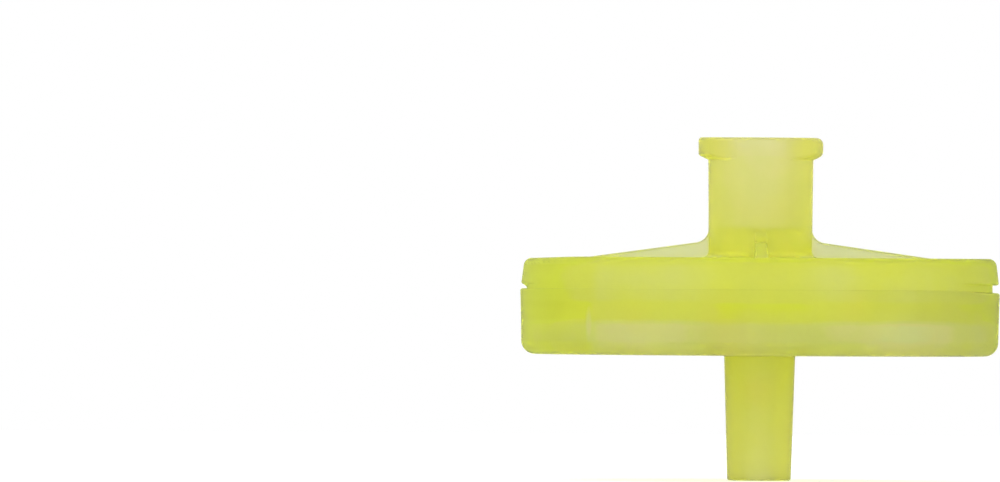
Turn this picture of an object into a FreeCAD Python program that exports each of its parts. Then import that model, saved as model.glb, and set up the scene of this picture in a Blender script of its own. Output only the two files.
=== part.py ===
"""A syringe filter: two moulded shells welded round a filter membrane.

The filter stands upright on the end of its outlet. The origin is the centre of that
end, +Z runs up the flow axis towards the inlet, and the inlet's lugs lie along X.
All sizes are in millimetres.
"""
import FreeCAD, Part
import math
import os

# Heights up the flow axis
OUTLET_TIP = 0.0
DISC_BOTTOM = 7.85
DRAIN_FLOOR = 8.60
MEMBRANE_SEAT = 9.85
CUP_RIM = 11.95
FLANGE_UNDERSIDE = 12.35
DISC_TOP = 13.95
INLET_BORE_FLOOR = 15.60
LUG_UNDERSIDE = 20.05
INLET_MOUTH = 21.45

# The disc
CUP_RADIUS = 15.0
CUP_DRAFT = 0.0227
FLANGE_RADIUS = 14.95
FLANGE_DRAFT = 0.13
GROOVE_RADIUS = 14.55
DISC_BOTTOM_ROUND = 0.85
DISC_TOP_ROUND = 0.5
GROOVE_LIP_ROUND = 0.15
EDGE_ROUND = 0.08

# The luer tapers: 6 % on the diameter, so 3 % on the radius
LUER_TAPER = 0.03
OUTLET_TIP_RADIUS = 1.99
OUTLET_BORE_RADIUS = 0.85
INLET_MOUTH_RADIUS = 2.15
INLET_TUBE_RADIUS = 3.30
INLET_TUBE_DRAFT = 0.008
MOUTH_ROUND = 0.16
TIP_ROUND = 0.14
TUBE_ROOT_ROUND = 0.4
OUTLET_ROOT_ROUND = 0.15

# The lugs that a luer lock collar turns on to
LUG_RADIUS = 3.90
LUG_HALF_ANGLE = math.radians(32)
LUG_FLANK_ANGLE = math.radians(62)
LUG_UNDERSIDE_RISE = 0.30
LUG_CORNER_ROUNDS = {"right": 0.42, "left": 0.20}
LUG_EDGE_ROUND = 0.18

# The fins that brace the inlet tube on the disc
FIN_COUNT = 4
FIN_THICKNESS = 0.8
FIN_REACH = 10.65
FIN_HEIGHT = 1.03
FIN_ROOT_ROUND = 0.9
FIN_EDGE_ROUND = 0.12

# The space for the liquid above and below the membrane
CHAMBER_RADIUS = 10.70
CUP_BORE_RADIUS = 12.80
PLUG_CLEARANCE = 0.05
PASSAGE_RADIUS = 0.80
CHANNEL_WIDTH = 0.75
CHANNEL_CEILING = 11.00
CHANNEL_ROUND = 0.25
CHAMBER_EDGE_CEILING = 10.45
CHAMBER_MIDDLE_CEILING = 10.85
DRAIN_CORNER_ROUND = 0.4
DRAIN_MOUTH_ROUND = 0.3

# The ribs that spread the flow above the membrane
FLOW_RIB_COUNT = 12
FLOW_RIB_WIDTH = 0.45
FLOW_RIB_START = 1.9
FLOW_RIB_GAP = 0.15

# The rings that carry the membrane below, cut by channels to the outlet
RING_COUNT = 6
RING_WIDTH = 0.55
FIRST_RING_RADIUS = 1.9
LAST_RING_RADIUS = 9.9
DRAIN_CHANNEL_COUNT = 8
DRAIN_CHANNEL_WIDTH = 0.9

# The membrane
MEMBRANE_RADIUS = 12.5
MEMBRANE_THICKNESS = 0.2

# How far a fin, a lug or a ring reaches into the wall that it grows from
ROOT_DEPTH = 0.3

AXIS = FreeCAD.Vector(0, 0, 1)
CENTRE = FreeCAD.Vector(0, 0, 0)


def corner(radius, height, rounding=0.0):
    """One corner of an outline in the XZ plane, with the radius of its rounding."""
    return FreeCAD.Vector(radius, 0, height), rounding


def rounded_corner(before, point, after, rounding):
    """The start, middle and end of the arc that rounds a corner."""
    to_before = (before - point).normalize()
    to_after = (after - point).normalize()
    half_angle = to_before.getAngle(to_after) / 2
    setback = rounding / math.tan(half_angle)
    to_middle = rounding / math.sin(half_angle) - rounding
    bisector = (to_before + to_after).normalize()
    return point + to_before * setback, point + bisector * to_middle, point + to_after * setback


def outline_face(corners):
    """A face in the XZ plane from a closed run of corners, sharp or rounded."""
    edges = []
    ends = []
    for index, (point, rounding) in enumerate(corners):
        if rounding == 0:
            ends.append((point, point))
            continue
        before = corners[index - 1][0]
        after = corners[(index + 1) % len(corners)][0]
        start, middle, end = rounded_corner(before, point, after, rounding)
        ends.append((start, end))
        edges.append(Part.Arc(start, middle, end).toShape())
    for index, (_, leaving) in enumerate(ends):
        arriving = ends[(index + 1) % len(ends)][0]
        edges.append(Part.LineSegment(leaving, arriving).toShape())
    return Part.Face(Part.Wire(Part.__sortEdges__(edges)))


def turned(corners):
    """A solid of revolution about the flow axis."""
    return outline_face(corners).revolve(CENTRE, AXIS, 360)


def tube_radius(height):
    """The outside radius of the inlet tube, which narrows towards the disc."""
    return INLET_TUBE_RADIUS - INLET_TUBE_DRAFT * (INLET_MOUTH - height)


def inlet_bore_radius(height):
    """The radius of the inlet's luer bore."""
    return INLET_MOUTH_RADIUS - LUER_TAPER * (INLET_MOUTH - height)


def outlet_radius(height):
    """The outside radius of the luer outlet."""
    return OUTLET_TIP_RADIUS + LUER_TAPER * height


def cup_radius(height):
    """The outside radius of the outlet shell's wall."""
    return CUP_RADIUS - CUP_DRAFT * (CUP_RIM - height)


def flange_radius(height):
    """The outside radius of the inlet shell's flange."""
    return FLANGE_RADIUS - FLANGE_DRAFT * (height - FLANGE_UNDERSIDE)


def inlet_body():
    """The round part of the inlet shell: tube, plate, flange and plug."""
    clamp_face = MEMBRANE_SEAT + MEMBRANE_THICKNESS
    plug_radius = CUP_BORE_RADIUS - PLUG_CLEARANCE
    channel_inside = CHAMBER_RADIUS - CHANNEL_WIDTH
    return turned([
        corner(inlet_bore_radius(INLET_MOUTH), INLET_MOUTH, MOUTH_ROUND),
        corner(tube_radius(INLET_MOUTH), INLET_MOUTH, MOUTH_ROUND),
        corner(tube_radius(DISC_TOP), DISC_TOP, TUBE_ROOT_ROUND),
        corner(flange_radius(DISC_TOP), DISC_TOP, DISC_TOP_ROUND),
        corner(flange_radius(FLANGE_UNDERSIDE), FLANGE_UNDERSIDE, GROOVE_LIP_ROUND),
        corner(GROOVE_RADIUS, FLANGE_UNDERSIDE),
        corner(GROOVE_RADIUS, CUP_RIM),
        corner(plug_radius, CUP_RIM),
        corner(plug_radius, clamp_face, EDGE_ROUND),
        corner(CHAMBER_RADIUS, clamp_face, EDGE_ROUND),
        corner(CHAMBER_RADIUS, CHANNEL_CEILING, CHANNEL_ROUND),
        corner(channel_inside, CHANNEL_CEILING, CHANNEL_ROUND),
        corner(channel_inside, CHAMBER_EDGE_CEILING, EDGE_ROUND),
        corner(PASSAGE_RADIUS, CHAMBER_MIDDLE_CEILING, DRAIN_MOUTH_ROUND),
        corner(PASSAGE_RADIUS, INLET_BORE_FLOOR, EDGE_ROUND),
        corner(inlet_bore_radius(INLET_BORE_FLOOR), INLET_BORE_FLOOR, DRAIN_MOUTH_ROUND),
    ])


def lug(rounding):
    """One lug on the inlet's mouth, on the +X side."""
    inside = tube_radius(LUG_UNDERSIDE) - ROOT_DEPTH
    ring = turned([
        corner(inside, INLET_MOUTH),
        corner(LUG_RADIUS, INLET_MOUTH, rounding),
        corner(LUG_RADIUS, LUG_UNDERSIDE + LUG_UNDERSIDE_RISE, rounding),
        corner(tube_radius(LUG_UNDERSIDE), LUG_UNDERSIDE),
        corner(inside, LUG_UNDERSIDE),
    ])
    flank_end = INLET_TUBE_RADIUS * math.cos(LUG_FLANK_ANGLE)
    flank_side = INLET_TUBE_RADIUS * math.sin(LUG_FLANK_ANGLE)
    tip_end = LUG_RADIUS * math.cos(LUG_HALF_ANGLE)
    tip_side = LUG_RADIUS * math.sin(LUG_HALF_ANGLE)
    beyond = 2 * LUG_RADIUS
    plan = [
        (0, 0),
        (flank_end, -flank_side),
        (tip_end, -tip_side),
        (beyond, -tip_side),
        (beyond, tip_side),
        (tip_end, tip_side),
        (flank_end, flank_side),
        (0, 0),
    ]
    points = [FreeCAD.Vector(x, y, 0) for x, y in plan]
    wedge = Part.Face(Part.makePolygon(points)).extrude(2 * INLET_MOUTH * AXIS)
    solid = ring.common(wedge).Solids[0]
    return solid.makeFillet(LUG_EDGE_ROUND, upright_edges(solid, tip_end, tip_side))


def upright_edges(solid, end, side):
    """The edges of a solid that stand upright at (end, side) and (end, -side)."""
    found = []
    for edge in solid.Edges:
        run = edge.Vertexes[-1].Point - edge.Vertexes[0].Point
        middle = edge.CenterOfMass
        reach = math.hypot(middle.x - end, abs(middle.y) - side)
        if reach < EDGE_ROUND and math.hypot(run.x, run.y) < EDGE_ROUND:
            found.append(edge)
    return found


def fin():
    """One bracing fin on the +X side, sloping from the tube down to the disc."""
    above_fillet = DISC_TOP + FIN_HEIGHT + 2 * FIN_ROOT_ROUND
    inside = tube_radius(DISC_TOP) - ROOT_DEPTH
    root = tube_radius(DISC_TOP + FIN_HEIGHT)
    buried_reach = FIN_REACH + ROOT_DEPTH * (FIN_REACH - root) / FIN_HEIGHT
    face = outline_face([
        corner(inside, DISC_TOP - ROOT_DEPTH),
        corner(buried_reach, DISC_TOP - ROOT_DEPTH),
        corner(root, DISC_TOP + FIN_HEIGHT, FIN_ROOT_ROUND),
        corner(tube_radius(above_fillet) - EDGE_ROUND, above_fillet),
        corner(inside, above_fillet),
    ])
    solid = face.extrude(FreeCAD.Vector(0, FIN_THICKNESS, 0))
    solid.translate(FreeCAD.Vector(0, -FIN_THICKNESS / 2, 0))
    tops = []
    for edge in solid.Edges:
        nearest = min(vertex.Point.x for vertex in edge.Vertexes)
        if nearest > inside + EDGE_ROUND and abs(edge.CenterOfMass.y) > FIN_EDGE_ROUND:
            tops.append(edge)
    return solid.makeFillet(FIN_EDGE_ROUND, tops)


def flow_rib():
    """One radial rib under the plate, on the +X side, just clear of the membrane."""
    underside = MEMBRANE_SEAT + MEMBRANE_THICKNESS + FLOW_RIB_GAP
    length = CHAMBER_RADIUS - CHANNEL_WIDTH - FLOW_RIB_START - EDGE_ROUND
    height = CHANNEL_CEILING - underside
    start = FreeCAD.Vector(FLOW_RIB_START, -FLOW_RIB_WIDTH / 2, underside)
    return Part.makeBox(length, FLOW_RIB_WIDTH, height, start)


def around(shape, count):
    """Copies of a shape spaced evenly round the flow axis."""
    copies = []
    for number in range(count):
        copy = shape.copy()
        copy.rotate(CENTRE, AXIS, 360 * number / count)
        copies.append(copy)
    return copies


def inlet_shell():
    """The upper shell, with the luer lock inlet, in one moulding."""
    right_lug = lug(LUG_CORNER_ROUNDS["right"])
    left_lug = lug(LUG_CORNER_ROUNDS["left"])
    left_lug.rotate(CENTRE, AXIS, 180)
    fins = around(fin(), FIN_COUNT)
    ribs = around(flow_rib(), FLOW_RIB_COUNT)
    return inlet_body().fuse([right_lug, left_lug] + fins + ribs).removeSplitter()


def outlet_body():
    """The round part of the outlet shell: cup and luer nozzle."""
    return turned([
        corner(OUTLET_BORE_RADIUS, OUTLET_TIP, EDGE_ROUND),
        corner(outlet_radius(OUTLET_TIP), OUTLET_TIP, TIP_ROUND),
        corner(outlet_radius(DISC_BOTTOM), DISC_BOTTOM, OUTLET_ROOT_ROUND),
        corner(cup_radius(DISC_BOTTOM), DISC_BOTTOM, DISC_BOTTOM_ROUND),
        corner(cup_radius(CUP_RIM), CUP_RIM, GROOVE_LIP_ROUND),
        corner(CUP_BORE_RADIUS, CUP_RIM),
        corner(CUP_BORE_RADIUS, MEMBRANE_SEAT, EDGE_ROUND / 2),
        corner(CHAMBER_RADIUS, MEMBRANE_SEAT, EDGE_ROUND),
        corner(CHAMBER_RADIUS, DRAIN_FLOOR, DRAIN_CORNER_ROUND),
        corner(OUTLET_BORE_RADIUS, DRAIN_FLOOR, DRAIN_MOUTH_ROUND),
    ])


def support_rings():
    """The rings under the membrane, less the channels that run to the outlet."""
    step = (LAST_RING_RADIUS - FIRST_RING_RADIUS) / (RING_COUNT - 1)
    base = FreeCAD.Vector(0, 0, DRAIN_FLOOR - ROOT_DEPTH)
    height = MEMBRANE_SEAT - DRAIN_FLOOR + ROOT_DEPTH
    channel_start = FreeCAD.Vector(0, -DRAIN_CHANNEL_WIDTH / 2, DRAIN_FLOOR)
    channel = Part.makeBox(CHAMBER_RADIUS, DRAIN_CHANNEL_WIDTH, height, channel_start)
    channels = around(channel, DRAIN_CHANNEL_COUNT)
    rings = []
    for number in range(RING_COUNT):
        middle = FIRST_RING_RADIUS + step * number
        outer = Part.makeCylinder(middle + RING_WIDTH / 2, height, base)
        inner = Part.makeCylinder(middle - RING_WIDTH / 2, height, base)
        rings.append(outer.cut(inner).cut(channels))
    return rings


def outlet_shell():
    """The lower shell, with the luer slip outlet, in one moulding."""
    return outlet_body().fuse(support_rings()).removeSplitter()


def membrane():
    """The filter membrane, a flat disc held between the two shells."""
    seat = FreeCAD.Vector(0, 0, MEMBRANE_SEAT)
    return Part.makeCylinder(MEMBRANE_RADIUS, MEMBRANE_THICKNESS, seat)


def main():
    os.makedirs("parts", exist_ok=True)
    pieces = {
        "inlet_shell": inlet_shell(),
        "membrane": membrane(),
        "outlet_shell": outlet_shell(),
    }
    for name, piece in pieces.items():
        solid = piece.Solids[0]
        solid.exportStep(f"parts/{name}.step")
        print(name, "solids", len(piece.Solids), "valid", solid.isValid(), f"{solid.Volume:.1f} mm3")


main()
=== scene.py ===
import math

import bpy
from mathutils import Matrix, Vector


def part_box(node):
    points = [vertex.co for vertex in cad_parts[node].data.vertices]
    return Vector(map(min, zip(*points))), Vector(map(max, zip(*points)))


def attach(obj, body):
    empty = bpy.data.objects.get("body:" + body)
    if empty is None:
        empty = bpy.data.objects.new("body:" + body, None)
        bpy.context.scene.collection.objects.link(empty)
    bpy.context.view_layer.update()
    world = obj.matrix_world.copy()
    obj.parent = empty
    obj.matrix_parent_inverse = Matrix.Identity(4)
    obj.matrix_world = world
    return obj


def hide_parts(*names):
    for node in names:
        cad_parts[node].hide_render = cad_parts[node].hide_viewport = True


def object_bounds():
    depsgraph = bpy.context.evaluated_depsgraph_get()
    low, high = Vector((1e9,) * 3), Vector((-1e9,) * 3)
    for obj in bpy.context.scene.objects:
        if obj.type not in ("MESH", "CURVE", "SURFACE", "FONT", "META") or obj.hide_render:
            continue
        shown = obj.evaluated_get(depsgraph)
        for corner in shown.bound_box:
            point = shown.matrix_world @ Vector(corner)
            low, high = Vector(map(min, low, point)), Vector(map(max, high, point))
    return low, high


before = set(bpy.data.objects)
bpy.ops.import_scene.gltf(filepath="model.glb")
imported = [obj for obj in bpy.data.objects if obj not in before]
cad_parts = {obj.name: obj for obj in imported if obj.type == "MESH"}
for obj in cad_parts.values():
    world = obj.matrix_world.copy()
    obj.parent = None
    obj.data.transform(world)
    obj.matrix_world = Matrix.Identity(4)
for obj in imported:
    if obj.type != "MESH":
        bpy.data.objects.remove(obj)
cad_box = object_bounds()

MM = 0.001

# Heights above the outlet tip, in millimetres.
DISC_BOTTOM = 7.85
CUP_RIM = 11.95
FLANGE_UNDERSIDE = 12.35
DISC_TOP = 13.95
LUG_UNDERSIDE = 20.05
BORE_TOP = 21.40
INLET_MOUTH = 21.45

# A face this near to one of those heights, in millimetres, is taken to lie at it.
NEAR = 0.02

# The cup's outside radius, in millimetres.
CUP_RADIUS = 15.0

# Radii that tell one surface from the next, in millimetres. A bore or the tube lies just
# inside its own, the plate ends at its edge, and a fin runs into the tube inside its root.
INLET_BORE = 2.20
OUTLET_BORE = 0.95
TUBE_SIDE = 3.35
CUP_BORE = 12.85
PLATE_EDGE = 14.2
FIN_ROOT = 4.4

# A face of a fin this near to the fin's middle, in millimetres, is on its sloping edge.
FIN_SIDE = 0.30

# What each moulded surface is like: its haze, its roughness, its paleness and its painted
# shade, which its tint is multiplied by to darken surfaces that should show less light. The
# front fins are those in front of the tube and behind it.
SURFACES = {
    "bore": (0.08, 0.60, 0.90, 0.945),
    "outlet_bore": (0.20, 0.60, 1.0, 1.0),
    "chamber": (0.10, 0.60, 1.0, 1.0),
    "lug": (0.08, 0.55, 0.60, 0.955),
    "mouth": (0.20, 0.60, 0.12, 0.94),
    "tube": (0.06, 0.50, 0.55, 0.965),
    "fin": (0.14, 0.57, 1.0, 0.885),
    "fin_edge": (0.25, 0.60, 0.09, 1.0),
    "front_fin": (0.22, 0.58, 0.12, 0.975),
    "plate": (0.25, 0.60, 0.0, 0.998),
    "wall": (0.16, 0.60, 0.0, 1.0),
    "nozzle": (0.05, 0.52, 0.46, 0.905),
}

# The plastic's tint, from thick and lime to thin and clear: paleness, colour.
TINTS = (
    (0.0, "E3EA5D"), (0.09, "F0F97D"), (0.16, "F2F5AA"), (0.5, "F3F4DA"), (0.75, "FFF8F3"),
    (1.0, "FCFDFB"),
)

# How fast the dye in each shell takes blue out of the light, per metre.
INLET_DYE = 350.0
OUTLET_DYE = 480.0

# How pale the disc's wall is up its height: height in millimetres, paleness. The lowest two are
# paler partly as painted light from below, which brightens the bottom of the wall.
WALL_BANDS = (
    (7.85, 0.66), (8.55, 0.68), (8.90, 0.84), (9.60, 0.82), (10.20, 0.26), (11.00, 0.20),
    (11.40, 0.34), (12.60, 0.42), (13.20, 0.36), (13.95, 0.10),
)

# How much of that each part of the wall has: distance out along X in millimetres, share.
WALL_REACH = (
    (-15.0, 0.12), (-13.4, 0.18), (-11.0, 0.42), (-9.9, 0.88), (-4.5, 0.92), (-2.0, 0.62),
    (2.0, 0.58), (4.5, 0.95), (9.5, 1.0), (13.4, 0.50), (15.0, 0.10),
)

# How much milkier the wall is where it is palest.
WALL_MILK = 0.10

# A pale streak up the wall, painted light where the inner chamber's edge shows through it, in
# millimetres: its middle and how far it reaches along X, Y and Z. Then the share of that reach
# where it is strongest, and how pale it is there.
STREAK_MIDDLE = (-10.75, -10.45, 9.75)
STREAK_REACH = (0.24, 3.0, 1.25)
STREAK_CORE = 0.3
STREAK_PALENESS = 0.36

# How much paler the plate is painted over the white membrane, painted light for what the
# membrane sends back up through it, and the radii, in millimetres, between which that fades.
PAINTED_MEMBRANE_LIGHT = 0.09
PLATE_FADE = (12.4, 13.3)

# The weld's stress-whitened specks, in millimetres: the middle of their ring and half its
# width. Then the way to the side that they lie on, and the distances out that way between
# which they come in.
SPECK_RING = (14.2, 0.24)
SPECK_SIDE = (-0.8, -0.6, 0.0)
SPECK_START = (9.0, 12.0)

# The values of the noise between which a speck comes in, and how pale and how milky specks
# are.
SPECK_LEVELS = (0.50, 0.62)
SPECK_PALENESS = 0.35
SPECK_MILK = 0.20

# How far out along X the painted shade on the right begins, in millimetres, and the share of
# the tint it leaves at the rim.
RIGHT_SHADE_FROM = 7.0
RIGHT_SHADE_SHARE = 0.91

# The values that nearly all of a noise lies between, and what each property is multiplied
# by at the first and at the second.
NOISE_LEVELS = (0.3, 0.7)
PALENESS_DRIFT = (0.75, 1.25)
HAZE_DRIFT = (0.85, 1.15)
ROUGHNESS_DRIFT = (0.92, 1.08)

# How wide one blotch of each pattern is, in millimetres.
DRIFT_SIZE = 4.0
SPECK_SIZE = 0.6
GRAIN_SIZE = 0.3
MOTTLE_SIZE = 0.4

# How deep the moulded grain and the membrane's pores are, in millimetres.
GRAIN_DEPTH = 0.01
PORE_DEPTH = 0.02

# The joint's groove, in millimetres: its corners lie outside this radius and between these
# heights.
GROOVE_INSIDE = 14.5
GROOVE_HEIGHTS = (11.78, 12.52)

# How much of the groove the weld leaves open in front and behind, and the distances out along
# X, in millimetres, between which it opens up at either side.
GROOVE_OPEN = 0.03
GROOVE_LEFT = (13.9, 14.7)
GROOVE_RIGHT = (12.0, 13.6)

# Where the joint has settled, in millimetres: the distances out along X between which the
# sag comes on at the left and at the right, the heights between which the flange's lip fades
# into the flange, the radii between which the lip's inside fades into its edge, and how far
# down the cup's rim the sag goes.
SETTLED_LEFT = (10.9, 15.0)
SETTLED_RIGHT = (12.0, 14.5)
LIP_HEIGHTS = (12.55, 13.4)
LIP_RADII = (14.56, 14.80)
RIM_DEPTH = 0.25

# How far it has settled, in millimetres: the flange on the left, what its lip adds, what the
# lip's inside adds, and the lip on the right. Then how far the cup's rim falls on the right
# for each millimetre out from its bore.
FLANGE_DROP = 0.11
LIP_DROP = 0.04
INNER_LIP_DROP = 0.18
RIGHT_LIP_DROP = 0.06
RIM_FALL = 0.07

# Faces that share a plane hide each other, so the welded pieces stand this far apart, in
# metres, and the membrane is drawn at this share of its width.
WELD_GAP = 0.005 * MM
MEMBRANE_SHARE = 0.99

# The floor, in metres: how far it reaches each way and how far it lies below the tip. Then
# what it adds to itself where it is seen, so that it reads white.
FLOOR_REACH = 0.35
FLOOR_GAP = 0.01 * MM
CARD_LIFT = 0.60

# How bright the studio is from in front of the filter round to behind it: share of the way,
# brightness. Then where across it, from -1 to 1, the brightness begins to change toward the
# right, and what it is multiplied by there and at the far right.
STUDIO_RING = ((0.0, 1.0), (0.55, 1.0), (0.70, 0.84), (0.90, 0.84), (0.97, 0.94), (1.0, 0.94))
SIDE_START = -0.6
SIDE_LEVELS = (1.02, 0.86)

# The picture, in metres: how wide it is at the filter, how many times as wide as it is high,
# and how far its lower edge lies below the tip. Then how far off the camera stands, how far
# it is raised and how far it is turned about its own axis.
PICTURE_WIDTH = 62.57 * MM
PICTURE_SHAPE = 1000 / 482
PICTURE_DROP = 0.19 * MM
CAMERA_DISTANCE = 1.35
CAMERA_RISE = math.radians(-0.05)
CAMERA_ROLL = math.radians(0.35)


def linear(code):
    """Turns an sRGB hex code into the linear colour that a socket takes."""
    channels = []
    for start in (0, 2, 4):
        value = int(code[start:start + 2], 16) / 255
        if value <= 0.04045:
            channels.append(value / 12.92)
        else:
            channels.append(((value + 0.055) / 1.055) ** 2.4)
    return (*channels, 1.0)


def add_node(tree, kind, settings=None, values=None, links=None):
    """Adds one node with its settings, its socket values and the outputs that feed it."""
    node = tree.nodes.new(kind)
    for name, setting in (settings or {}).items():
        setattr(node, name, setting)
    for socket, value in (values or {}).items():
        node.inputs[socket].default_value = value
    for socket, output in (links or {}).items():
        tree.links.new(output, node.inputs[socket])
    return node


def fill_ramp(ramp, stops):
    """Gives a colour ramp its stops, from the left."""
    ramp.interpolation = "EASE"
    while len(ramp.elements) < len(stops):
        ramp.elements.new(0.5)
    for element, (position, colour) in zip(ramp.elements, stops):
        element.position = position
        element.color = colour


def grey(level):
    """A grey colour from one number."""
    return level, level, level, 1.0


def empty_material(name):
    """A material with an empty node tree."""
    material = bpy.data.materials.new(name)
    material.use_nodes = True
    material.node_tree.nodes.clear()
    return material, material.node_tree


def wall_pattern(tree, place, axes):
    """How pale the disc's wall is: in bands up its height, which weaken toward its ends."""
    height = add_node(tree, "ShaderNodeMapRange",
                      values={"From Min": DISC_BOTTOM * MM, "From Max": DISC_TOP * MM},
                      links={"Value": axes.outputs["Z"]})
    bands = add_node(tree, "ShaderNodeValToRGB", links={0: height.outputs["Result"]})
    fill_ramp(bands.color_ramp, [((level - DISC_BOTTOM) / (DISC_TOP - DISC_BOTTOM), grey(pale))
                                 for level, pale in WALL_BANDS])
    across = add_node(tree, "ShaderNodeMapRange",
                      values={"From Min": -CUP_RADIUS * MM, "From Max": CUP_RADIUS * MM},
                      links={"Value": axes.outputs["X"]})
    reach = add_node(tree, "ShaderNodeValToRGB", links={0: across.outputs["Result"]})
    fill_ramp(reach.color_ramp, [(0.5 + 0.5 * out / CUP_RADIUS, grey(share))
                                 for out, share in WALL_REACH])
    band_paleness = add_node(tree, "ShaderNodeMath", {"operation": "MULTIPLY"},
                             links={0: bands.outputs["Color"], 1: reach.outputs["Color"]})

    # A short pale streak up the wall is painted light where the inner chamber's edge shows
    # through.
    from_streak = add_node(tree, "ShaderNodeVectorMath", {"operation": "SUBTRACT"},
                         {1: Vector(STREAK_MIDDLE) * MM}, {0: place.outputs["Object"]})
    streak_shares = add_node(tree, "ShaderNodeVectorMath", {"operation": "DIVIDE"},
                           {1: Vector(STREAK_REACH) * MM}, {0: from_streak.outputs[0]})
    off_streak = add_node(tree, "ShaderNodeVectorMath", {"operation": "LENGTH"},
                        links={0: streak_shares.outputs[0]})
    pale_streak = add_node(tree, "ShaderNodeMapRange", {"interpolation_type": "SMOOTHSTEP"},
                    {"From Min": STREAK_CORE, "From Max": 1.0, "To Min": 1.0, "To Max": 0.0},
                    {"Value": off_streak.outputs["Value"]})
    wall_paleness = add_node(tree, "ShaderNodeMath", {"operation": "MULTIPLY_ADD"},
                             {1: STREAK_PALENESS},
                             {0: pale_streak.outputs["Result"], 2: band_paleness.outputs[0]})
    return wall_paleness.outputs[0]


def weld_specks(tree, place, radius, on_plate):
    """Where the weld has left whitened specks: in the plate's rim, down one side."""
    from_ring = add_node(tree, "ShaderNodeMath", {"operation": "SUBTRACT"},
                         {1: SPECK_RING[0] * MM}, {0: radius.outputs["Value"]})
    off_ring = add_node(tree, "ShaderNodeMath", {"operation": "ABSOLUTE"},
                        links={0: from_ring.outputs[0]})
    in_ring = add_node(tree, "ShaderNodeMapRange", {"interpolation_type": "SMOOTHSTEP"},
                       {"From Min": 0.0, "From Max": SPECK_RING[1] * MM, "To Min": 1.0,
                        "To Max": 0.0},
                       {"Value": off_ring.outputs[0]})
    toward_side = add_node(tree, "ShaderNodeVectorMath", {"operation": "DOT_PRODUCT"},
                           {1: SPECK_SIDE}, {0: place.outputs["Object"]})
    down_side = add_node(tree, "ShaderNodeMapRange", {"interpolation_type": "SMOOTHSTEP"},
                         {"From Min": SPECK_START[0] * MM, "From Max": SPECK_START[1] * MM},
                         {"Value": toward_side.outputs["Value"]})
    crazing = add_node(tree, "ShaderNodeTexNoise",
                       values={"Scale": 1.0 / (SPECK_SIZE * MM), "Detail": 5.0},
                       links={"Vector": place.outputs["Object"]})
    crazed = add_node(tree, "ShaderNodeMapRange",
                      values={"From Min": SPECK_LEVELS[0], "From Max": SPECK_LEVELS[1]},
                      links={"Value": crazing.outputs["Fac"]})
    ring_specks = add_node(tree, "ShaderNodeMath", {"operation": "MULTIPLY"},
                           links={0: in_ring.outputs["Result"], 1: crazed.outputs["Result"]})
    side_specks = add_node(tree, "ShaderNodeMath", {"operation": "MULTIPLY"},
                           links={0: ring_specks.outputs[0], 1: down_side.outputs["Result"]})
    specks = add_node(tree, "ShaderNodeMath", {"operation": "MULTIPLY"},
                      links={0: side_specks.outputs[0], 1: on_plate.outputs["Fac"]})
    return specks.outputs[0]


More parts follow.
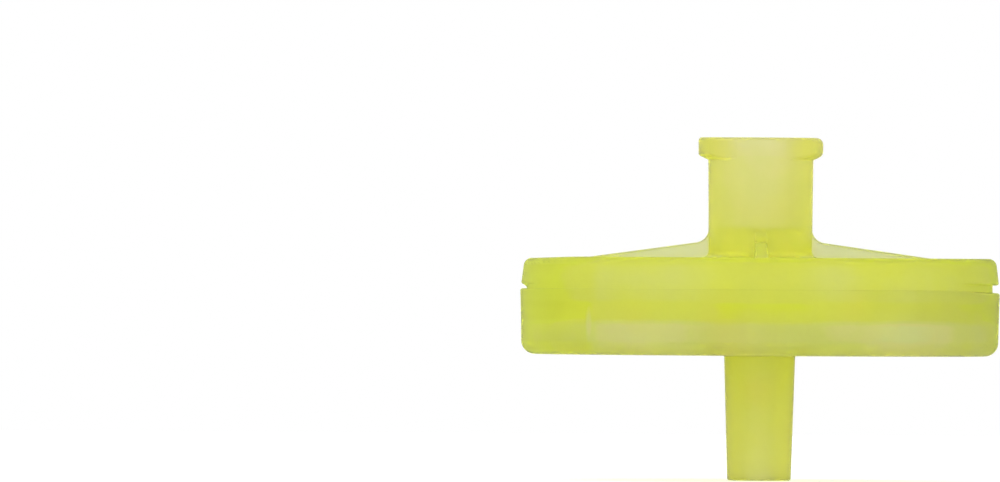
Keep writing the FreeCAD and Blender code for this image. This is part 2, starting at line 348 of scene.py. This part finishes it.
def moulded_polypropylene(name, dye_density):
    """Natural polypropylene with a lime dye, injection moulded in a steel mould.

    The dye takes the blue out of light that goes through, so a thin fin is pale and the thick
    disc a full lime, with painted shade that darkens it toward the right. The satin skin blurs
    what lies behind it, and a faint haze of crystals under the skin makes some bands of it
    milky.
    """
    material, tree = empty_material(name)
    place = add_node(tree, "ShaderNodeTexCoord")
    axes = add_node(tree, "ShaderNodeSeparateXYZ", links={0: place.outputs["Object"]})
    wall_paleness = wall_pattern(tree, place, axes)

    # The membrane shows through the plate, and the plate is also painted paler over it, painted
    # light for what the membrane sends back, except at its rim.
    level_place = add_node(tree, "ShaderNodeVectorMath", {"operation": "MULTIPLY"},
                           {1: (1.0, 1.0, 0.0)}, {0: place.outputs["Object"]})
    radius = add_node(tree, "ShaderNodeVectorMath", {"operation": "LENGTH"},
                      links={0: level_place.outputs[0]})
    painted_membrane_light = add_node(tree, "ShaderNodeMapRange", {"interpolation_type": "SMOOTHSTEP"},
                      {"From Min": PLATE_FADE[0] * MM, "From Max": PLATE_FADE[1] * MM,
                       "To Min": PAINTED_MEMBRANE_LIGHT, "To Max": 0.0},
                      {"Value": radius.outputs["Value"]})
    on_plate = add_node(tree, "ShaderNodeAttribute", {"attribute_name": "plate"})
    face_paleness = add_node(tree, "ShaderNodeAttribute", {"attribute_name": "paleness"})
    plate_paleness = add_node(tree, "ShaderNodeMath", {"operation": "MULTIPLY_ADD"},
                              links={0: on_plate.outputs["Fac"], 1: painted_membrane_light.outputs["Result"],
                                     2: face_paleness.outputs["Fac"]})
    specks = weld_specks(tree, place, radius, on_plate)
    own_paleness = add_node(tree, "ShaderNodeMath", {"operation": "MULTIPLY_ADD"},
                            {1: SPECK_PALENESS}, {0: specks, 2: plate_paleness.outputs[0]})
    on_wall = add_node(tree, "ShaderNodeAttribute", {"attribute_name": "wall"})
    paleness = add_node(tree, "ShaderNodeMix",
                        links={"Factor": on_wall.outputs["Fac"], 2: own_paleness.outputs[0],
                               3: wall_paleness})

    # The melt cools unevenly, so its tint, haze and gloss drift over about 4 mm.
    drift = add_node(tree, "ShaderNodeTexNoise",
                     values={"Scale": 1.0 / (DRIFT_SIZE * MM), "Detail": 3.0},
                     links={"Vector": place.outputs["Object"]})
    changes = []
    for low, high in (PALENESS_DRIFT, HAZE_DRIFT, ROUGHNESS_DRIFT):
        change = add_node(tree, "ShaderNodeMapRange",
                          values={"From Min": NOISE_LEVELS[0], "From Max": NOISE_LEVELS[1],
                                  "To Min": low, "To Max": high},
                          links={"Value": drift.outputs["Fac"]})
        changes.append(change.outputs["Result"])
    paleness_change, haze_change, roughness_change = changes

    # The tint follows the paleness, and is darkened by painted shade: each surface's own, and
    # more toward the right.
    uneven_paleness = add_node(tree, "ShaderNodeMath", {"operation": "MULTIPLY"},
                               links={0: paleness.outputs[0], 1: paleness_change})
    tint = add_node(tree, "ShaderNodeValToRGB", links={0: uneven_paleness.outputs[0]})
    fill_ramp(tint.color_ramp, [(pale, linear(code)) for pale, code in TINTS])
    painted_surface_shade = add_node(tree, "ShaderNodeAttribute", {"attribute_name": "shade"})
    right_shade = add_node(tree, "ShaderNodeMapRange", {"interpolation_type": "SMOOTHSTEP"},
                      {"From Min": RIGHT_SHADE_FROM * MM, "From Max": CUP_RADIUS * MM,
                       "To Min": 1.0, "To Max": RIGHT_SHADE_SHARE},
                      {"Value": axes.outputs["X"]})
    shade = add_node(tree, "ShaderNodeMath", {"operation": "MULTIPLY"},
                     links={0: painted_surface_shade.outputs["Fac"], 1: right_shade.outputs["Result"]})
    shaded_tint = add_node(tree, "ShaderNodeVectorMath", {"operation": "SCALE"},
                           links={0: tint.outputs["Color"], "Scale": shade.outputs[0]})

    # The haze takes its share of the light that would go through.
    own_haze = add_node(tree, "ShaderNodeAttribute", {"attribute_name": "haze"})
    wall_milk = add_node(tree, "ShaderNodeMath", {"operation": "MULTIPLY"},
                         links={0: on_wall.outputs["Fac"], 1: wall_paleness})
    speck_haze = add_node(tree, "ShaderNodeMath", {"operation": "MULTIPLY_ADD"},
                          {1: SPECK_MILK}, {0: specks, 2: own_haze.outputs["Fac"]})
    full_haze = add_node(tree, "ShaderNodeMath", {"operation": "MULTIPLY_ADD"},
                         {1: WALL_MILK}, {0: wall_milk.outputs[0], 2: speck_haze.outputs[0]})
    haze = add_node(tree, "ShaderNodeMath", {"operation": "MULTIPLY"},
                    links={0: full_haze.outputs[0], 1: haze_change})
    transmission = add_node(tree, "ShaderNodeMapRange", values={"To Min": 1.0, "To Max": 0.0},
                            links={"Value": haze.outputs[0]})
    own_roughness = add_node(tree, "ShaderNodeAttribute", {"attribute_name": "roughness"})
    roughness = add_node(tree, "ShaderNodeMath", {"operation": "MULTIPLY"},
                         links={0: own_roughness.outputs["Fac"], 1: roughness_change})

    # Spark-eroded grain is about 0.05 mm; it is drawn at 0.3 mm so that it shows close up.
    grain = add_node(tree, "ShaderNodeTexNoise",
                     values={"Scale": 1.0 / (GRAIN_SIZE * MM), "Detail": 2.0},
                     links={"Vector": place.outputs["Object"]})
    relief = add_node(tree, "ShaderNodeBump",
                      values={"Strength": 0.05, "Distance": GRAIN_DEPTH * MM},
                      links={"Height": grain.outputs["Fac"]})
    skin = add_node(tree, "ShaderNodeBsdfPrincipled", values={"IOR": 1.49},
                    links={"Base Color": shaded_tint.outputs[0],
                           "Roughness": roughness.outputs[0],
                           "Transmission Weight": transmission.outputs[0],
                           "Normal": relief.outputs["Normal"]})
    dye = add_node(tree, "ShaderNodeVolumeAbsorption",
                   values={"Color": linear("FFFF00"), "Density": dye_density})
    add_node(tree, "ShaderNodeOutputMaterial",
             links={"Surface": skin.outputs["BSDF"], "Volume": dye.outputs["Volume"]})
    return material


def cast_membrane():
    """A cast nylon membrane, 0.2 mm thick: dead white, matt and faintly fibrous."""
    material, tree = empty_material("cast_nylon_membrane")
    place = add_node(tree, "ShaderNodeTexCoord")
    # Its pores are under a micrometre, so a 0.4 mm mottle stands for them.
    pores = add_node(tree, "ShaderNodeTexNoise",
                     values={"Scale": 1.0 / (MOTTLE_SIZE * MM), "Detail": 4.0},
                     links={"Vector": place.outputs["Object"]})
    shade = add_node(tree, "ShaderNodeMix", {"data_type": "RGBA"},
                     {6: linear("F4F3EC"), 7: linear("FBFBF8")},
                     {"Factor": pores.outputs["Fac"]})
    relief = add_node(tree, "ShaderNodeBump",
                      values={"Strength": 0.3, "Distance": PORE_DEPTH * MM},
                      links={"Height": pores.outputs["Fac"]})
    sheet = add_node(tree, "ShaderNodeBsdfPrincipled", values={"Roughness": 0.9, "IOR": 1.5},
                     links={"Base Color": shade.outputs[2], "Normal": relief.outputs["Normal"]})
    add_node(tree, "ShaderNodeOutputMaterial", links={"Surface": sheet.outputs["BSDF"]})
    return material


def white_card():
    """Matt white card, lit to white for the camera and still taking the filter's shadow."""
    material, tree = empty_material("matt_white_card")
    ray = add_node(tree, "ShaderNodeLightPath")
    lift = add_node(tree, "ShaderNodeMath", {"operation": "MULTIPLY"}, {1: CARD_LIFT},
                    {0: ray.outputs["Is Camera Ray"]})
    card = add_node(tree, "ShaderNodeBsdfDiffuse", values={"Color": linear("DEDEDC")})
    glow = add_node(tree, "ShaderNodeEmission", values={"Color": linear("FFFFFF")},
                    links={"Strength": lift.outputs[0]})
    lit_card = add_node(tree, "ShaderNodeAddShader",
                        links={0: card.outputs["BSDF"], 1: glow.outputs["Emission"]})

    # Where it is seen through the plastic or mirrored in it, the card is plain white.
    through_plastic = add_node(tree, "ShaderNodeMath", {"operation": "MAXIMUM"},
                               links={0: ray.outputs["Is Glossy Ray"],
                                      1: ray.outputs["Is Transmission Ray"]})
    plain_white = add_node(tree, "ShaderNodeEmission",
                           values={"Color": linear("FFFFFF"), "Strength": 1.0})
    upper_side = add_node(tree, "ShaderNodeMixShader",
                          links={0: through_plastic.outputs[0], 1: lit_card.outputs["Shader"],
                                 2: plain_white.outputs["Emission"]})

    # The card has only an upper side, so that the underside of the filter can be looked at.
    face = add_node(tree, "ShaderNodeNewGeometry")
    gone = add_node(tree, "ShaderNodeBsdfTransparent")
    one_sided = add_node(tree, "ShaderNodeMixShader",
                         links={0: face.outputs["Backfacing"], 1: upper_side.outputs["Shader"],
                                2: gone.outputs["BSDF"]})
    add_node(tree, "ShaderNodeOutputMaterial", links={"Surface": one_sided.outputs["Shader"]})
    return material


def studio_light():
    """Even light from all round, dimmer in a ring round the lit card behind the filter."""
    world = bpy.data.worlds.new("studio")
    world.use_nodes = True
    tree = world.node_tree
    tree.nodes.clear()
    ray = add_node(tree, "ShaderNodeLightPath")
    direction = add_node(tree, "ShaderNodeTexCoord")
    toward = add_node(tree, "ShaderNodeSeparateXYZ", links={0: direction.outputs["Generated"]})
    behind = add_node(tree, "ShaderNodeMapRange", values={"From Min": -1.0, "From Max": 1.0},
                      links={"Value": toward.outputs["Y"]})
    ring = add_node(tree, "ShaderNodeValToRGB", links={0: behind.outputs["Result"]})
    fill_ramp(ring.color_ramp, [(share, grey(level)) for share, level in STUDIO_RING])
    side = add_node(tree, "ShaderNodeMapRange", {"interpolation_type": "SMOOTHSTEP"},
                    {"From Min": SIDE_START, "From Max": 1.0,
                     "To Min": SIDE_LEVELS[0], "To Max": SIDE_LEVELS[1]},
                    {"Value": toward.outputs["X"]})
    light = add_node(tree, "ShaderNodeMath", {"operation": "MULTIPLY"},
                     links={0: ring.outputs["Color"], 1: side.outputs["Result"]})
    strength = add_node(tree, "ShaderNodeMix", values={3: 1.0},
                        links={"Factor": ray.outputs["Is Camera Ray"], 2: light.outputs[0]})
    sky = add_node(tree, "ShaderNodeBackground", values={"Color": linear("FFFFFF")},
                   links={"Strength": strength.outputs[0]})
    add_node(tree, "ShaderNodeOutputWorld", links={"Surface": sky.outputs["Background"]})
    return world


def inlet_surface(place):
    """The name of the inlet shell's moulded surface at a place, in millimetres."""
    radius = place.xy.length
    level = place.z
    if level < CUP_RIM - NEAR:
        return "chamber"
    if radius < INLET_BORE and level < BORE_TOP:
        return "bore"
    if level > LUG_UNDERSIDE - NEAR:
        return "mouth" if level > INLET_MOUTH - NEAR else "lug"
    if level > DISC_TOP + NEAR:
        if radius < TUBE_SIDE:
            return "tube"
        if abs(place.x) < abs(place.y):
            return "tube" if radius < FIN_ROOT else "front_fin"
        return "fin_edge" if abs(place.y) < FIN_SIDE else "fin"
    return "wall" if radius > PLATE_EDGE or level < FLANGE_UNDERSIDE + NEAR else "plate"


def outlet_surface(place):
    """The name of the outlet shell's moulded surface at a place, in millimetres."""
    radius = place.xy.length
    level = place.z
    if radius < OUTLET_BORE:
        return "outlet_bore"
    if level < DISC_BOTTOM - NEAR:
        return "nozzle"
    if radius > CUP_BORE:
        return "wall"
    return "plate" if level < DISC_BOTTOM + NEAR else "chamber"


def smooth_step(start, end, value):
    """Goes from 0 to 1 between start and end."""
    share = min(max((value - start) / (end - start), 0.0), 1.0)
    return share * share * (3.0 - 2.0 * share)


def fill_groove(mesh):
    """The weld's flash fills the joint's groove, except toward its ends at either side."""
    normals = [corner.vector.copy() for corner in mesh.corner_normals]
    open_share_at = {}
    for corner in mesh.vertices:
        out = Vector((corner.co.x, corner.co.y, 0.0))
        at_height = GROOVE_HEIGHTS[0] < corner.co.z / MM < GROOVE_HEIGHTS[1]
        if not at_height or out.length < GROOVE_INSIDE * MM:
            continue
        opening = GROOVE_LEFT if corner.co.x < 0.0 else GROOVE_RIGHT
        open_share = max(GROOVE_OPEN, smooth_step(*opening, abs(corner.co.x) / MM))
        open_share_at[corner.index] = open_share
        depth = (CUP_RADIUS * MM - out.length) * open_share
        corner.co.xy = (out.normalized() * (CUP_RADIUS * MM - depth)).xy

    # Where it is filled, the groove is shaded as part of the wall.
    for face in mesh.polygons:
        if math.hypot(face.center.x, face.center.y) < GROOVE_INSIDE * MM:
            continue
        for number in face.loop_indices:
            index = mesh.loops[number].vertex_index
            corner = mesh.vertices[index].co
            outward = Vector((corner.x, corner.y, 0.0)).normalized()
            open_share = open_share_at.get(index, 1.0)
            normals[number] = outward.lerp(normals[number], open_share).normalized()
    mesh.normals_split_custom_set(normals)


def settle_joint(mesh):
    """The weld's heat lets the joint's lips, and the flange on the left, settle a little."""
    for corner in mesh.vertices:
        level = corner.co.z / MM
        radius = corner.co.xy.length / MM
        left = smooth_step(*SETTLED_LEFT, -corner.co.x / MM)
        right = smooth_step(*SETTLED_RIGHT, corner.co.x / MM)
        drop = 0.0
        if FLANGE_UNDERSIDE - NEAR < level < DISC_TOP + NEAR:
            lip = 1.0 - smooth_step(*LIP_HEIGHTS, level)
            inner = 1.0 - smooth_step(*LIP_RADII, radius)
            left_drop = FLANGE_DROP + (LIP_DROP + INNER_LIP_DROP * inner) * lip
            drop = left_drop * left + RIGHT_LIP_DROP * lip * right
        elif CUP_RIM - RIM_DEPTH < level < CUP_RIM + NEAR and radius > CUP_BORE:
            drop = RIM_FALL * (radius - CUP_BORE) * right
        corner.co.z -= drop * MM


def new_piece(name, node, finish):
    """Copies a node's mesh to a piece that stands for it, with its own finish."""
    piece = bpy.data.objects.new(name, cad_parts[node].data.copy())
    bpy.context.collection.objects.link(piece)
    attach(piece, "root")
    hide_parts(node)
    piece.data.materials.clear()
    piece.data.materials.append(finish)
    return piece


def shell(name, node, finish, surface_at):
    """One moulded half of the housing, with its surfaces marked and its joint welded."""
    piece = new_piece(name, node, finish)
    mesh = piece.data
    marks = ("haze", "roughness", "paleness", "shade", "wall", "plate")
    for mark in marks:
        mesh.attributes.new(mark, "FLOAT", "FACE")
    for face in mesh.polygons:
        surface = surface_at(face.center / MM)
        values = (*SURFACES[surface], float(surface == "wall"), float(surface == "plate"))
        for mark, value in zip(marks, values):
            mesh.attributes[mark].data[face.index].value = value
    fill_groove(mesh)
    settle_joint(mesh)
    return piece


shell("inlet_housing", "inlet_shell",
      moulded_polypropylene("inlet_polypropylene", INLET_DYE), inlet_surface)

outlet_housing = shell("outlet_housing", "outlet_shell",
                       moulded_polypropylene("outlet_polypropylene", OUTLET_DYE),
                       outlet_surface)

# The cup's rim stands one gap below the inlet shell.
for corner in outlet_housing.data.vertices:
    if corner.co.z > CUP_RIM * MM - 2 * WELD_GAP:
        corner.co.z -= WELD_GAP

# The membrane stands one gap clear of both shells.
filter_membrane = new_piece("filter_membrane", "membrane", cast_membrane())
membrane_low, membrane_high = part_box("membrane")
membrane_middle = (membrane_low[2] + membrane_high[2]) / 2
for corner in filter_membrane.data.vertices:
    corner.co.z += WELD_GAP if corner.co.z < membrane_middle else -WELD_GAP
    corner.co.x *= MEMBRANE_SHARE
    corner.co.y *= MEMBRANE_SHARE

# The floor: a card that the outlet tip stands on.
floor_mesh = bpy.data.meshes.new("floor_card")
floor_mesh.from_pydata(
    [(-FLOOR_REACH, -FLOOR_REACH, 0.0), (FLOOR_REACH, -FLOOR_REACH, 0.0),
     (FLOOR_REACH, FLOOR_REACH, 0.0), (-FLOOR_REACH, FLOOR_REACH, 0.0)],
    [], [(0, 1, 2, 3)])
floor_mesh.materials.append(white_card())
floor = bpy.data.objects.new("floor_card", floor_mesh)
floor.location.z = cad_box[0][2] - FLOOR_GAP
bpy.context.collection.objects.link(floor)

# A long lens, nearly level, with the filter at the right edge of the picture.
aim = Vector((cad_box[1][0] - PICTURE_WIDTH / 2,
              0.0,
              cad_box[0][2] + PICTURE_WIDTH / PICTURE_SHAPE / 2 - PICTURE_DROP))
toward_camera = Vector((0.0, -math.cos(CAMERA_RISE), math.sin(CAMERA_RISE)))
lens = bpy.data.cameras.new("camera")
lens.sensor_width = 36.0
lens.lens = lens.sensor_width * CAMERA_DISTANCE / PICTURE_WIDTH
lens.clip_start = 0.05
camera = bpy.data.objects.new("camera", lens)
camera.location = aim + CAMERA_DISTANCE * toward_camera
camera.rotation_euler = (aim - camera.location).to_track_quat("-Z", "Y").to_euler()
camera.rotation_euler.rotate_axis("Z", CAMERA_ROLL)
bpy.context.collection.objects.link(camera)

scene = bpy.context.scene
scene.camera = camera
scene.world = studio_light()
scene.view_settings.view_transform = "Standard"

# Light bounces many times inside clear plastic; cut short or filtered, it would turn grey.
scene.cycles.max_bounces = 64
scene.cycles.transmission_bounces = 64
scene.cycles.glossy_bounces = 64
scene.cycles.diffuse_bounces = 16
scene.cycles.blur_glossy = 0.0
